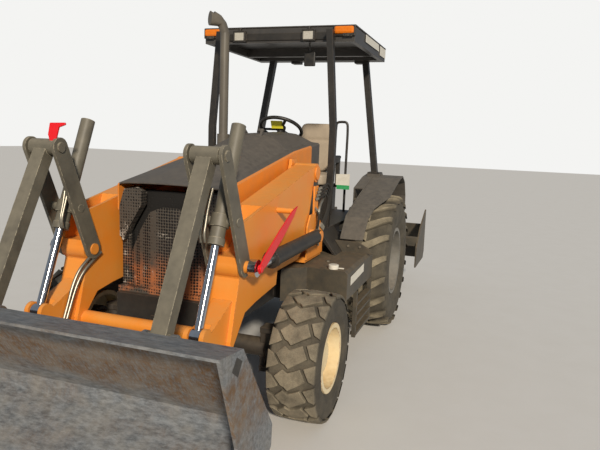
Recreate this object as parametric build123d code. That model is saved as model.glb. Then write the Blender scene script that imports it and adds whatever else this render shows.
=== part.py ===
from build123d import *
import math
import os

# Tractor loader: two wheelbase-long chassis rails, a front loader with its bucket set down,
# an open operator's station under a canopy, and a box scraper raised on the rear hitch.
# Millimetres. +X is the machine's left, +Y its rear, +Z up. Places are given from the ground
# under the rear axle, and the last section moves the machine to the middle of its own box.

# Wheels and axles
WHEELBASE = 2150
FRONT_AXLE = -WHEELBASE
FRONT_TYRE_DIA = 835
FRONT_TYRE_WIDTH = 315
FRONT_RIM_DIA = 440
FRONT_TRACK = 1740
REAR_TYRE_DIA = 1285
REAR_TYRE_WIDTH = 440
REAR_RIM_DIA = 640
REAR_TRACK = 1660
KINGPIN_X = 640

# Clearances: a seat, a running pin, and pieces that pass each other
SEAT = 0.3
PIN_FIT = 0.4
SIDE_GAP = 5
STRUT_X = 710

# Loader: pivots as (y, z), seen from the side, and its lanes across the machine. The arms turn on
# the towers beside the platform, and reach past the nose, so their front half follows the front axle.
ARM_PIVOT = (-1330, 1540)
LEVER_PIVOT = (FRONT_AXLE - 510, 1075)
LEVER_TOP = (FRONT_AXLE - 775, 1700)
TRUNNION_SHARE = 0.425
ROD_EYE = (FRONT_AXLE - 860, 760)
BUCKET_PIVOT = (FRONT_AXLE - 1030, 550)
BUCKET_LUG = (FRONT_AXLE - 1210, 850)
LIFT_BASE = (-1489, 1081)
ARM_X = 515
ARM_WIDTH = 170
ARM_PLATE = 20
LEVER_PLATE = 20
LIFT_X = 676
PIVOT_PIN_R = 35
LEVER_TOP_PIN_R = 28
TRUNNION_R = 24
BUCKET_BARREL_R = 42
BUCKET_ROD_R = 25
LIFT_BARREL_R = 50
LIFT_ROD_R = 28
LIFT_EYE_HALF = 22
LIFT_BASE_PIN_R = 30

# Bucket, drawn flat on the ground and then tipped forward about its pin
BUCKET_WIDTH = 2080
BUCKET_TIP = 39
BUCKET_PLATE = 12
BUCKET_SIDE = 16
BUCKET_FLOOR = 698
BUCKET_HEEL = (-84, -68)
BUCKET_BACK_TOP = (-42, 592)
BUCKET_LIP = (-184, 743)
BUCKET_CORNER = ((-80, 10), (-150, -68))

# Frame, bonnet and operator's station
RAIL_X = 300
RAIL_WIDTH = 60
RAIL_TOP = 760
RAIL_DEPTH = 210
CROSSMEMBER_TOP = 610
FRAME_FRONT = FRONT_AXLE - 310
FRAME_REAR = 430
RAIL_KICK = 770
RAIL_REAR_TOP = 920
HOOD_HALF = 385
HOOD_SHEET = 8
HOOD_FRONT = FRAME_FRONT + 10
HOOD_REAR = -1222
COWL_REAR = -600
PLATFORM_TOP = 1050
TYRE_GAP = 20
FENDER_IN = REAR_TRACK / 2 - REAR_TYRE_WIDTH / 2 - TYRE_GAP
PLATFORM_HALF = FENDER_IN - 15
PLATFORM_FRONT = -1130
CANOPY_HALF = 695
CANOPY_FRONT = -740
CANOPY_REAR = 550
CANOPY_BOTTOM = 2610
CANOPY_DEPTH = 135
CANOPY_TOP = CANOPY_BOTTOM + CANOPY_DEPTH
FRONT_POST = (
    (503, CANOPY_BOTTOM + 87), (PLATFORM_HALF - 6, 1880), (PLATFORM_HALF - 7, 1540),
    (PLATFORM_HALF - 37, PLATFORM_TOP + SEAT),
)
STEP_OUT = 950
STEP_FRONT = FRONT_AXLE + FRONT_TYRE_DIA / 2 + 132.5
STEP_REAR = -660
FENDER_EDGE = FENDER_IN + 100
FENDER_OUT = FENDER_IN + 390
FENDER_SHEET = 12
FENDER_PAD = 1460

# Rear hitch and box scraper
HITCH_PIVOT = (540, 560)
HITCH_BALL = (1230, 500)
TOP_LINK_FRONT = (540, 940)
TOP_LINK_REAR = (1250, 930)
HITCH_X = 360
SCRAPER_WIDTH = 2130
SCRAPER_FRONT = 1290
SCRAPER_REAR = 2030
SCRAPER_BOTTOM = 310

# Tow points: a lug ahead of the bumper and a drawbar behind
TOW_PIN_R = 16
TOW_LUG = 32
DRAWBAR_HOLE = 640


def outline(points):
    """A closed straight-sided outline from (y, z) points."""
    return make_face(Polyline(*points, close=True))


def disc(point, radius):
    return Pos(*point) * Circle(radius)


def bar(p, q, p_radius, q_radius):
    """A flat bar with round ends about two pins."""
    length = math.dist(p, q)
    heading = math.atan2(q[1] - p[1], q[0] - p[0])
    spread = math.acos((p_radius - q_radius) / length)
    corners = []
    for centre, radius, turns in ((p, p_radius, (1, -1)), (q, q_radius, (-1, 1))):
        for turn in turns:
            angle = heading + turn * spread
            corners.append((centre[0] + radius * math.cos(angle), centre[1] + radius * math.sin(angle)))
    return outline(corners) + disc(p, p_radius) + disc(q, q_radius)


def plate(shape, x0, x1):
    """A (y, z) outline made into a plate that runs across the machine from x0 to x1."""
    return extrude(Plane.YZ.offset(x0) * shape, amount=x1 - x0)


def cross_pin(point, radius, x0, x1):
    return plate(disc(point, radius), x0, x1)


def block(x, y, z):
    """A box from three (low, high) pairs."""
    size = Box(x[1] - x[0], y[1] - y[0], z[1] - z[0])
    return Pos((x[0] + x[1]) / 2, (y[0] + y[1]) / 2, (z[0] + z[1]) / 2) * size


def tube(points, radius):
    """A round bar along straight runs between (x, y, z) points, with a ball at each bend."""
    solid = Part()
    for start, end in zip(points, points[1:]):
        run = Vector(*end) - Vector(*start)
        place = Plane(origin=start, z_dir=run)
        solid += place * Cylinder(radius, run.length, align=(Align.CENTER, Align.CENTER, Align.MIN))
    for bend in points[1:-1]:
        solid += Pos(*bend) * Sphere(radius)
    return solid


def along(p, q, distance):
    """The (y, z) point that lies so far from p towards q."""
    share = distance / math.dist(p, q)
    return (p[0] + (q[0] - p[0]) * share, p[1] + (q[1] - p[1]) * share)


def turned(p, q, x, sections):
    """A round piece on the line from p to q: sections are (from, to, radius) along that line."""
    solid = Part()
    for low, high, radius in sections:
        a = along(p, q, low)
        b = along(p, q, high)
        solid += tube([(x, *a), (x, *b)], radius)
    return solid


def strip(points, thickness):
    """A bent sheet seen on edge: the line of points and the same line moved to its left."""
    normals = []
    for a, b in zip(points, points[1:]):
        length = math.dist(a, b)
        normals.append(((a[1] - b[1]) / length, (b[0] - a[0]) / length))
    inner = []
    for i, point in enumerate(points):
        before = normals[max(i - 1, 0)]
        after = normals[min(i, len(normals) - 1)]
        reach = thickness / (1 + before[0] * after[0] + before[1] * after[1])
        inner.append((point[0] + (before[0] + after[0]) * reach, point[1] + (before[1] + after[1]) * reach))
    return outline(points + inner[::-1])


def both(solid):
    """The piece and its mirror image on the other side of the machine."""
    return solid + mirror(solid, about=Plane.YZ)


def on_axle(solid, x, y, z):
    """A wheel piece, made about Z, set on an axle that runs across the machine."""
    return Pos(x, y, z) * Rot(0, 90, 0) * solid


# Wheels: section points are (radius, offset from the wheel's middle)
def tyre(diameter, width, rim_diameter):
    outer = diameter / 2
    bead = rim_diameter / 2 - 12 + SEAT
    half = width / 2
    shoulder = outer - 0.1 * width
    seat_half = 0.40 * width
    flange = rim_diameter / 2 + 8
    section = outline([
        (bead, -seat_half), (flange, -seat_half), (bead + 60, -half), (shoulder, -half),
        (outer, -half + 40), (outer, half - 40), (shoulder, half), (bead + 60, half),
        (flange, seat_half), (bead, seat_half),
    ])
    return revolve(Plane.XZ * section, axis=Axis.Z)


def rim(diameter, width, disc_at, hub_radius, hub_from, hub_to):
    """A rim with its flanges, a dished disc and the hub it bolts to."""
    seat = diameter / 2 - 12
    lip = diameter / 2 + 6
    half = 0.40 * width + 14
    barrel = outline([
        (seat, -half + 14 - SEAT), (lip, -half + 14 - SEAT), (lip, -half), (seat - 14, -half),
        (seat - 14, half), (lip, half), (lip, half - 14 + SEAT), (seat, half - 14 + SEAT),
    ])
    web = outline([
        (0, disc_at), (hub_radius + 25, disc_at), (seat - 12, disc_at - 45),
        (seat - 12, disc_at - 31), (hub_radius + 22, disc_at + 14), (0, disc_at + 14),
    ])
    hub = outline([(0, hub_from), (hub_radius, hub_from), (hub_radius, hub_to), (0, hub_to)])
    return revolve(Plane.XZ * (barrel + web + hub), axis=Axis.Z)


def wheel_pieces():
    pieces = {}
    for side, sign in (("left", 1), ("right", -1)):
        flip = Rot(0, 0, 0) if sign > 0 else Rot(180, 0, 0)
        front = (sign * FRONT_TRACK / 2, FRONT_AXLE, FRONT_TYRE_DIA / 2)
        rear = (sign * REAR_TRACK / 2, 0, REAR_TYRE_DIA / 2)
        front_tyre = tyre(FRONT_TYRE_DIA, FRONT_TYRE_WIDTH, FRONT_RIM_DIA)
        front_rim = rim(FRONT_RIM_DIA, FRONT_TYRE_WIDTH, 10, 95, 0, 90)
        rear_tyre = tyre(REAR_TYRE_DIA, REAR_TYRE_WIDTH, REAR_RIM_DIA)
        rear_rim = rim(REAR_RIM_DIA, REAR_TYRE_WIDTH, -60, 120, -100, 30)
        pieces["front_tyre_" + side] = on_axle(flip * front_tyre, *front)
        pieces["front_rim_" + side] = on_axle(flip * front_rim, *front)
        pieces["rear_tyre_" + side] = on_axle(flip * rear_tyre, *rear)
        pieces["rear_rim_" + side] = on_axle(flip * rear_rim, *rear)
    return pieces


# Axles: the front one rocks between two bolsters and carries steering knuckles on kingpins
AXLE_BOWL_R = 110
AXLE_PIVOT_HALF = 115
AXLE_PIVOT_UP = 110
PROP_FLANGE = 140
REAR_BOWL_R = 210
CASE_FRONT = -1400


def front_axle():
    z = FRONT_TYRE_DIA / 2
    y = FRONT_AXLE
    beam = tube([(-KINGPIN_X + 80, y, z), (KINGPIN_X - 80, y, z)], 62)
    beam += Pos(0, y, z) * Sphere(AXLE_BOWL_R)
    beam += tube([(0, y, z + 20), (0, y + PROP_FLANGE - SEAT, z + 20)], 40)
    reach = AXLE_PIVOT_HALF - SEAT
    beam += tube([(0, y - reach, z + AXLE_PIVOT_UP), (0, y + reach, z + AXLE_PIVOT_UP)], 45)
    for sign in (1, -1):
        x = sign * KINGPIN_X
        beam += Pos(x - sign * 92, y, z) * Box(36, 90, 300)
        for level in (-1, 1):
            beam += Pos(x - sign * 42, y, z + level * 132) * Box(136, 110, 36)
            beam += Pos(x, y, z + level * 132) * Cylinder(60, 36)
    return beam


def knuckle(sign):
    z = FRONT_TYRE_DIA / 2
    y = FRONT_AXLE
    hub_face = FRONT_TRACK / 2 - SEAT
    body = Pos(sign * KINGPIN_X, y, z) * Cylinder(48, 2 * (132 - 18) - 2 * SEAT)
    body += tube([(sign * KINGPIN_X, y, z), (sign * hub_face, y, z)], 80)
    body += tube([(sign * (hub_face - 110), y, z), (sign * hub_face, y, z)], 105)
    steer_arm = block((-22, 22), (0, 190), (-18, 18))
    body += Pos(sign * (KINGPIN_X - 5), y, z - 60) * steer_arm
    return body


def rear_axle():
    z = REAR_TYRE_DIA / 2
    axle = tube([(-REAR_TRACK / 2 + 100 + SEAT, 0, z), (REAR_TRACK / 2 - 100 - SEAT, 0, z)], 78)
    axle += tube([(-330, 0, z), (330, 0, z)], 120)
    axle += Pos(0, 0, z) * Sphere(REAR_BOWL_R)
    for sign in (1, -1):
        axle += Pos(sign * RAIL_X, 0, (z + RAIL_KICK - SEAT) / 2) * Box(80, 200, RAIL_KICK - SEAT - z)
        axle += tube([(sign * 600, 0, z), (sign * (REAR_TRACK / 2 - 100 - SEAT), 0, z)], 150)
    return axle


def drive_line():
    """Gearbox case behind the engine and the shaft that drives the front axle."""
    case = block((-190, 190), (CASE_FRONT, -REAR_BOWL_R - SEAT), (500, 930))
    case = chamfer(case.edges().filter_by(Axis.Y), 60)
    flange_y = FRONT_AXLE + PROP_FLANGE
    shaft = tube([(0, CASE_FRONT, 540), (0, flange_y, FRONT_TYRE_DIA / 2 + 20)], 28)
    return case + split(shaft, Plane.XZ.offset(-flange_y), keep=Keep.BOTTOM)


def engine_block():
    """It fills the bay between the front bolster and the gearbox case."""
    front = FRONT_AXLE - AXLE_PIVOT_HALF + 85
    return block((-235, 235), (front, CASE_FRONT - 20), (CROSSMEMBER_TOP + SEAT, 1340))


def chassis_frame():
    low = RAIL_TOP - RAIL_DEPTH
    side = outline([
        (FRAME_FRONT, low), (-480, low), (-300, RAIL_KICK), (290, RAIL_KICK), (330, low - 60),
        (FRAME_REAR, low - 60), (FRAME_REAR, RAIL_REAR_TOP), (-420, RAIL_REAR_TOP),
        (-560, RAIL_TOP), (FRAME_FRONT, RAIL_TOP),
    ])
    rail = plate(side, RAIL_X - RAIL_WIDTH / 2, RAIL_X + RAIL_WIDTH / 2)
    outrigger = TOWER_IN - TOWER_PLATE - SEAT
    rail += block((RAIL_X, outrigger), (-1480, -1200), (low + 10, RAIL_TOP - 20))
    frame = both(rail)
    axle_y = FRONT_AXLE
    for y0, y1, z0, z1 in (
        (FRAME_FRONT, axle_y - AXLE_PIVOT_HALF, low, RAIL_TOP),
        (axle_y + AXLE_PIVOT_HALF, axle_y + 200, low, CROSSMEMBER_TOP),
        (axle_y + 250, axle_y + 370, low, CROSSMEMBER_TOP),
        (330, FRAME_REAR, low - 60, RAIL_REAR_TOP),
    ):
        frame += block((-RAIL_X, RAIL_X), (y0, y1), (z0, z1))
    pivot_low = FRONT_TYRE_DIA / 2 + AXLE_PIVOT_UP - 40
    for y0 in (axle_y - AXLE_PIVOT_HALF - 70, axle_y + AXLE_PIVOT_HALF):
        frame += block((-70, 70), (y0, y0 + 70), (pivot_low, low + 1))
    frame += block((-360, 360), (FRAME_FRONT - 40, FRAME_FRONT), (low - 20, RAIL_TOP + 10))
    frame += block((-60, 60), (FRAME_FRONT - 110, FRAME_FRONT - 39), (low + 90, low + 90 + TOW_LUG))
    return frame - Pos(0, FRAME_FRONT - 72, low + 90) * Cylinder(TOW_PIN_R, 3 * TOW_LUG)


# Loader towers: an inner and an outer plate each side, with the arm between them
TOWER_IN = ARM_X - ARM_WIDTH / 2 - 8
TOWER_OUT = ARM_X + ARM_WIDTH / 2 + 8
TOWER_PLATE = 24
TOWER_OUT_PLATE = 12


def loader_towers():
    inner = outline([(-1500, 560), (-1180, 560), (-1215, 1560), (-1300, 1640), (-1400, 1640), (-1450, 1500)])
    outer = outline([(-1560, 900), (-1170, 900), (-1180, 1120), (-1360, 1235), (-1500, 1235), (-1560, 1150)])
    face = TOWER_OUT + TOWER_OUT_PLATE
    side = plate(inner, TOWER_IN - TOWER_PLATE, TOWER_IN)
    side += plate(outer, TOWER_OUT, face)
    side += block((TOWER_IN, TOWER_OUT), (-1560, -1170), (880, 920))
    side += block((TOWER_IN, TOWER_OUT), (-1195, -1171), (920, 1110))
    arm_face = ARM_X + ARM_WIDTH / 2
    side += cross_pin(ARM_PIVOT, PIVOT_PIN_R, TOWER_IN - TOWER_PLATE - 3, arm_face + 12)
    side += cross_pin(ARM_PIVOT, 52, arm_face + 1, arm_face + 12)
    side += cross_pin(LIFT_BASE, 46, face, LIFT_X - LIFT_EYE_HALF - 1)
    side += cross_pin(LIFT_BASE, LIFT_BASE_PIN_R, face, LIFT_X + LIFT_EYE_HALF + 12)
    side += cross_pin(LIFT_BASE, 42, LIFT_X + LIFT_EYE_HALF + 1, LIFT_X + LIFT_EYE_HALF + 12)
    return both(side)


# Loader arms with their noses, cross tube and pivot pins
ARM_REAR = [(-1700, 935), (-1560, 1010), (-1390, 1490), (-1315, 1610)]
ARM_KNEE = [
    (-410, 1342), (-540, 1318), (-572, 1090), (-540, 1010), (-640, 670), (-640, 590),
    (-455, 790), (-300, 815), (30, 845), (45, 935),
]
KNEE_POCKET = [(-180, 1480), (-250, 1210), (-410, 1135), (-680, 1135), (-680, 1480)]
NOSE_ROOT = [(-640, 590), (-550, 700), (-550, 900)]
NOSE_NECK = (FRONT_AXLE - 610, 650)
EYE_POCKET = [(-810, 690), (-960, 700), (-960, 860), (-740, 860)]
NOSE_HALF = 60
CROSS_TUBE = (FRONT_AXLE - 565, 650)
ROD_EYE_DRIFTS = ((-1, -32), (17, -27))
STRUT_CLIP = (FRONT_AXLE + 15, 1340)


def ahead(points):
    """Side-view points given from the front axle."""
    return [(FRONT_AXLE + y, z) for y, z in points]


def loader_arms():
    x0 = ARM_X - ARM_WIDTH / 2
    x1 = ARM_X + ARM_WIDTH / 2
    shape = outline(ahead(ARM_KNEE) + ARM_REAR) + disc(ARM_PIVOT, 72) + disc(LEVER_PIVOT, 65)
    arm = plate(shape, x0, x1)
    arm -= plate(outline(ahead(KNEE_POCKET)), x0 + ARM_PLATE, x1 - ARM_PLATE)
    nose_body = outline([ROD_EYE, BUCKET_PIVOT, *ahead(NOSE_ROOT)])
    nose = nose_body + disc(ROD_EYE, 50) + bar(BUCKET_PIVOT, NOSE_NECK, 58, 62)
    beak = plate(nose, ARM_X - NOSE_HALF, ARM_X + NOSE_HALF)
    eye_slot = outline(ahead(EYE_POCKET)) + disc(ROD_EYE, 62)
    for y, z in ROD_EYE_DRIFTS:
        eye_slot += disc((ROD_EYE[0] + y, ROD_EYE[1] + z), 52)
    beak -= plate(eye_slot, ARM_X - 34, ARM_X + 34)
    arm += beak
    arm -= cross_pin(ARM_PIVOT, PIVOT_PIN_R + PIN_FIT, x0 - 1, x1 + 1)
    arm += cross_pin(LEVER_PIVOT, PIVOT_PIN_R, x0 - 33, LIFT_X - LIFT_EYE_HALF - SIDE_GAP)
    arm += cross_pin(STRUT_CLIP, 18, x1 - 1, STRUT_X)
    arm += cross_pin(BUCKET_PIVOT, PIVOT_PIN_R, x0 - 8, x1 + 8)
    tube_across = cross_pin(CROSS_TUBE, 45, 0, ARM_X - NOSE_HALF + 5)
    return both(arm + tube_across)


def safety_strut():
    """Red bar stowed along the arm, from beside the lift rod's eye up to the arm's clip."""
    heading = math.atan2(STRUT_CLIP[1] - LEVER_PIVOT[1], STRUT_CLIP[0] - LEVER_PIVOT[0])
    shape = outline([
        (-28, -16), (70, -34), (330, -38), (560, -24), (650, 0), (560, 22), (330, 34), (70, 34), (-28, 16),
    ])
    strut = Pos(*LEVER_PIVOT) * Rot(0, 0, math.degrees(heading)) * shape
    piece = plate(strut, STRUT_X + SEAT, STRUT_X + 8)
    piece += cross_pin(LEVER_PIVOT, 22, LIFT_X + LIFT_EYE_HALF + SIDE_GAP, STRUT_X + 14)
    return both(piece)


# Bucket linkage: two levers a side, a link from their tops and a ram through their middle
TRUNNION = along(LEVER_PIVOT, LEVER_TOP, TRUNNION_SHARE * math.dist(LEVER_PIVOT, LEVER_TOP))


def bucket_levers():
    inside = ARM_X - ARM_WIDTH / 2 - SIDE_GAP
    outside = ARM_X + ARM_WIDTH / 2 + SIDE_GAP
    shape = bar(LEVER_PIVOT, LEVER_TOP, 60, 55)
    levers = plate(shape, inside - LEVER_PLATE, inside) + plate(shape, outside, outside + LEVER_PLATE)
    levers -= cross_pin(LEVER_PIVOT, PIVOT_PIN_R + PIN_FIT, inside - 40, outside + 40)
    levers -= cross_pin(TRUNNION, TRUNNION_R + PIN_FIT, inside - 40, outside + 40)
    levers += cross_pin(LEVER_TOP, LEVER_TOP_PIN_R, inside - LEVER_PLATE - 8, outside + LEVER_PLATE + 8)
    return both(levers)


LINK_HALF = 42


def bucket_links():
    """Straight bars with a wide boss at the lever pin and a narrower one between the bucket's lugs."""
    link = plate(bar(LEVER_TOP, BUCKET_LUG, 37, 33), ARM_X - LINK_HALF, ARM_X + LINK_HALF)
    link += cross_pin(LEVER_TOP, 46, ARM_X - 80, ARM_X + 80)
    link += cross_pin(BUCKET_LUG, 42, ARM_X - NOSE_HALF, ARM_X + NOSE_HALF)
    link -= cross_pin(LEVER_TOP, LEVER_TOP_PIN_R + PIN_FIT, ARM_X - 120, ARM_X + 120)
    return both(link)


def bucket_barrels():
    gland = math.dist(ROD_EYE, TRUNNION) - 135
    top = math.dist(ROD_EYE, TRUNNION) + 560
    middle = math.dist(ROD_EYE, TRUNNION)
    barrel = turned(ROD_EYE, TRUNNION, ARM_X, [
        (gland, top, BUCKET_BARREL_R), (gland, gland + 40, 48), (middle - 35, middle + 35, 54),
    ])
    barrel -= turned(ROD_EYE, TRUNNION, ARM_X, [
        (gland + 30, top - 30, BUCKET_BARREL_R - 8), (gland - 1, gland + 31, BUCKET_ROD_R + PIN_FIT),
    ])
    reach = ARM_WIDTH / 2 + SIDE_GAP + LEVER_PLATE + 4
    for start, end in ((50, reach), (-reach, -50)):
        barrel += cross_pin(TRUNNION, TRUNNION_R, ARM_X + start, ARM_X + end)
    return both(barrel)


def bucket_rods():
    middle = math.dist(ROD_EYE, TRUNNION)
    rod = turned(ROD_EYE, TRUNNION, ARM_X, [
        (30, middle + 70, BUCKET_ROD_R), (middle + 70, middle + 120, BUCKET_BARREL_R - 8.5),
    ])
    rod += cross_pin(ROD_EYE, 42, ARM_X - 28, ARM_X + 28)
    return both(rod)


def lift_barrels():
    length = math.dist(LIFT_BASE, LEVER_PIVOT)
    end = length - 250
    barrel = turned(LIFT_BASE, LEVER_PIVOT, LIFT_X, [(60, end, LIFT_BARREL_R), (end - 45, end + 5, 55)])
    barrel -= turned(LIFT_BASE, LEVER_PIVOT, LIFT_X, [
        (85, end - 30, LIFT_BARREL_R - 8), (end - 31, end + 6, LIFT_ROD_R + PIN_FIT),
    ])
    eye = bar(LIFT_BASE, along(LIFT_BASE, LEVER_PIVOT, 70), 46, 40)
    barrel += plate(eye, LIFT_X - LIFT_EYE_HALF, LIFT_X + LIFT_EYE_HALF)
    barrel -= turned(LIFT_BASE, LEVER_PIVOT, LIFT_X, [(85, 200, LIFT_BARREL_R - 8)])
    barrel -= cross_pin(LIFT_BASE, LIFT_BASE_PIN_R + PIN_FIT, LIFT_X - 60, LIFT_X + 60)
    return both(barrel)


def lift_rods():
    """The rod's eye stands beside the arm's pin, so the ram is open there."""
    length = math.dist(LIFT_BASE, LEVER_PIVOT)
    rod = turned(LIFT_BASE, LEVER_PIVOT, LIFT_X, [
        (150, length - 45, LIFT_ROD_R), (100, 150, LIFT_BARREL_R - 8.5),
    ])
    rod += cross_pin(LEVER_PIVOT, 50, LIFT_X - LIFT_EYE_HALF, LIFT_X + LIFT_EYE_HALF)
    return both(rod)


def tipped(point):
    """A bucket point, given flat and from the pin, as it lies with the bucket tipped forward."""
    turn = math.radians(BUCKET_TIP)
    y = BUCKET_PIVOT[0] + point[0] * math.cos(turn) - point[1] * math.sin(turn)
    z = BUCKET_PIVOT[1] + point[0] * math.sin(turn) + point[1] * math.cos(turn)
    return (y, z)


def bucket():
    half = BUCKET_WIDTH / 2
    edge = (BUCKET_HEEL[0] - BUCKET_FLOOR, BUCKET_HEEL[1])
    run = [tipped(p) for p in (BUCKET_LIP, BUCKET_BACK_TOP, *BUCKET_CORNER, edge)]
    shell = plate(strip(run, -BUCKET_PLATE), -half, half)
    side = [tipped(p) for p in (edge, (-640, -20), (-323, 298), BUCKET_LIP, BUCKET_BACK_TOP, *BUCKET_CORNER)]
    for x0 in (-half, half - BUCKET_SIDE):
        shell += plate(outline(side), x0, x0 + BUCKET_SIDE)
    inside = BUCKET_HEEL[1] + BUCKET_PLATE - 1
    tip = edge[0]
    blade = [(tip + 8, inside), (tip + 24, inside + 17), (tip + 170, inside + 17), (tip + 178, inside)]
    shell += plate(outline([tipped(p) for p in blade]), -half + 2, half - 2)
    lug = bar(BUCKET_PIVOT, BUCKET_LUG, 58, 48) + outline([
        BUCKET_PIVOT, BUCKET_LUG, tipped((-50, 560)), tipped((-86, 10)), tipped((-130, -40)),
    ])
    gap = NOSE_HALF + SIDE_GAP
    for start in (ARM_X - gap - 22, ARM_X + gap):
        lug_plate = plate(lug, start, start + 22)
        lug_plate -= cross_pin(BUCKET_PIVOT, PIVOT_PIN_R + PIN_FIT, start - 1, start + 23)
        shell += lug_plate + mirror(lug_plate, about=Plane.YZ)
    return shell


# Bonnet, cowl and grille
def hood_section(half, low, side, crown):
    """Cross-section of the bonnet: upright side strips, a small shoulder and a top that rises to the middle."""
    right = [(half, low), (half, side - 12), (half - 14, side), (half - 75, side + 6),
             (0.42 * half, side + 0.86 * crown), (0.15 * half, side + crown)]
    return make_face(Polyline(*right, *[(-x, z) for x, z in right[::-1]], close=True))


def hood_loft(stations, half, drop):
    """A ruled skin through stations of (y, low edge, side height, crown), shrunk by drop all round."""
    faces = []
    for y, low, side, crown in stations:
        faces.append(Plane.XZ.offset(-y) * hood_section(half - drop, low, side - drop, crown))
    return loft(faces, ruled=True)


HOOD_STATIONS = ((HOOD_REAR, 1585, 1697, 125), (HOOD_FRONT, 1300, 1478, 12))
COWL_STATIONS = ((HOOD_REAR + 8, PLATFORM_TOP + SEAT, 1697, 125), (COWL_REAR, PLATFORM_TOP + SEAT, 1762, 84))
HINGE = (-1226, 1850)
HINGE_X = 60


def hood_top():
    """The opening bonnet, with two hinge eyes that stand just above its rear edge."""
    skin = hood_loft(HOOD_STATIONS, HOOD_HALF, 0)
    deeper = [(y, low - 40, side, crown) for y, low, side, crown in HOOD_STATIONS]
    skin -= hood_loft(deeper, HOOD_HALF, HOOD_SHEET)
    eye = plate(bar(HINGE, (-1262, 1800), 14, 12), HINGE_X + 24, HINGE_X + 44)
    eye -= cross_pin(HINGE, 8 + PIN_FIT, HINGE_X, HINGE_X + 60)
    return skin + both(eye)


GRILLE_FACE = HOOD_FRONT - 5
GRILLE_BOW = 900
SHIELD = ((55, 1338), (150, 1300), (240, 1165), (325, 1005), (348, 850), (340, 775))
SIDE_SCREEN = (
    (261, 1452), (205, 1425), (209, 1343), (293, 1207), (345, 1103), (372, 1133), (372, 1330), (336, 1440),
)


def grille_housing():
    """Fixed nose: corner posts, a radiator, a bowed shield of mesh and two hanging side screens."""
    nose = both(block((325, HOOD_HALF), (HOOD_FRONT + 50, HOOD_FRONT + 250), (RAIL_TOP + SEAT, 1270)))
    nose += block((-360, 360), (HOOD_FRONT + 100, HOOD_FRONT + 140), (RAIL_TOP + SEAT, 1430))
    nose += block((-HOOD_HALF, HOOD_HALF), (HOOD_FRONT, HOOD_FRONT + 105), (RAIL_TOP + SEAT, RAIL_TOP + 40))
    around = Pos(0, GRILLE_FACE + GRILLE_BOW, 1000)
    bow = around * Cylinder(GRILLE_BOW, 800) - around * Cylinder(GRILLE_BOW - 12, 810)
    face = make_face(Polyline(*SHIELD, *[(-x, z) for x, z in SHIELD[::-1]], close=True))
    nose += bow & extrude(Plane.XZ.offset(-GRILLE_FACE + 5) * face, amount=-110)
    screen = extrude(Plane.XZ.offset(-HOOD_FRONT) * make_face(Polyline(*SIDE_SCREEN, close=True)), amount=-60)
    return nose + both(screen)


EXHAUST = (-330, -1080)
COLUMN = ((0, -570, 1877), (0, -690, 1670))


def cowl():
    body = hood_loft(COWL_STATIONS, HOOD_HALF, 0)
    body -= Pos(*EXHAUST, 1750) * Cylinder(52 + SEAT, 300)
    ear = plate(bar(HINGE, (-1180, 1818), 14, 16), HINGE_X, HINGE_X + 20)
    body += both(ear + cross_pin(HINGE, 8, HINGE_X, HINGE_X + 48))
    return body - tube(COLUMN, 30 + SEAT)


def exhaust_stack():
    x, y = EXHAUST
    bend = [(x, y, 2640), (x - 14, y - 20, 2700), (x - 38, y - 52, 2742), (x - 68, y - 88, 2762)]
    pipe = tube([(x, y, 1600 + SEAT), *bend], 38)
    return pipe + tube([(x, y, 1600 + SEAT), (x, y, 1810)], 52)


# Operator's station
TANK_TOP = 860


def platform():
    floor = block((-PLATFORM_HALF, PLATFORM_HALF), (PLATFORM_FRONT, 430), (PLATFORM_TOP - 30, PLATFORM_TOP))
    for y, low in ((-950, RAIL_TOP), (270, RAIL_REAR_TOP)):
        for x in (-RAIL_X, RAIL_X):
            floor += block((x - 30, x + 30), (y - 50, y + 50), (low + SEAT, PLATFORM_TOP - 30))
    edge = PLATFORM_HALF
    foot = TANK_TOP + SEAT
    skirt = Polyline((edge - 25, 1022), (edge - 1, 1049), (edge + 137, foot), (edge + 115, foot), close=True)
    return floor + both(extrude(Plane.XZ.offset(1080) * make_face(skirt), amount=-380))


def step_tank():
    shape = Polyline(
        (490, STEP_FRONT - 150), (640, STEP_FRONT), (STEP_OUT, STEP_FRONT), (STEP_OUT, STEP_REAR - 80),
        (490, STEP_REAR), close=True,
    )
    tank = extrude(Plane.XY.offset(620) * make_face(shape), amount=TANK_TOP - 620)
    tank = chamfer(tank.faces().sort_by(Axis.X)[-1].edges().filter_by(Axis.Y), 22)
    tank += block((RAIL_X + RAIL_WIDTH / 2 + SEAT, 491), (-1000, -900), (640, 720))
    root = TANK_TOP - 1
    fence = Polyline((717, root), (970, root), (955, 900), (850, 955), (648, 955), close=True)
    tank += extrude(Plane.XZ.offset(892) * make_face(fence), amount=-10)
    for y in (-1240, -740):
        tank += block((915, 945), (y, y + 30), (245, 622))
    for z in (505, 425, 345, 260):
        tank += block((900, STEP_OUT), (-1230, -720), (z, z + 20))
    return tank


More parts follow.
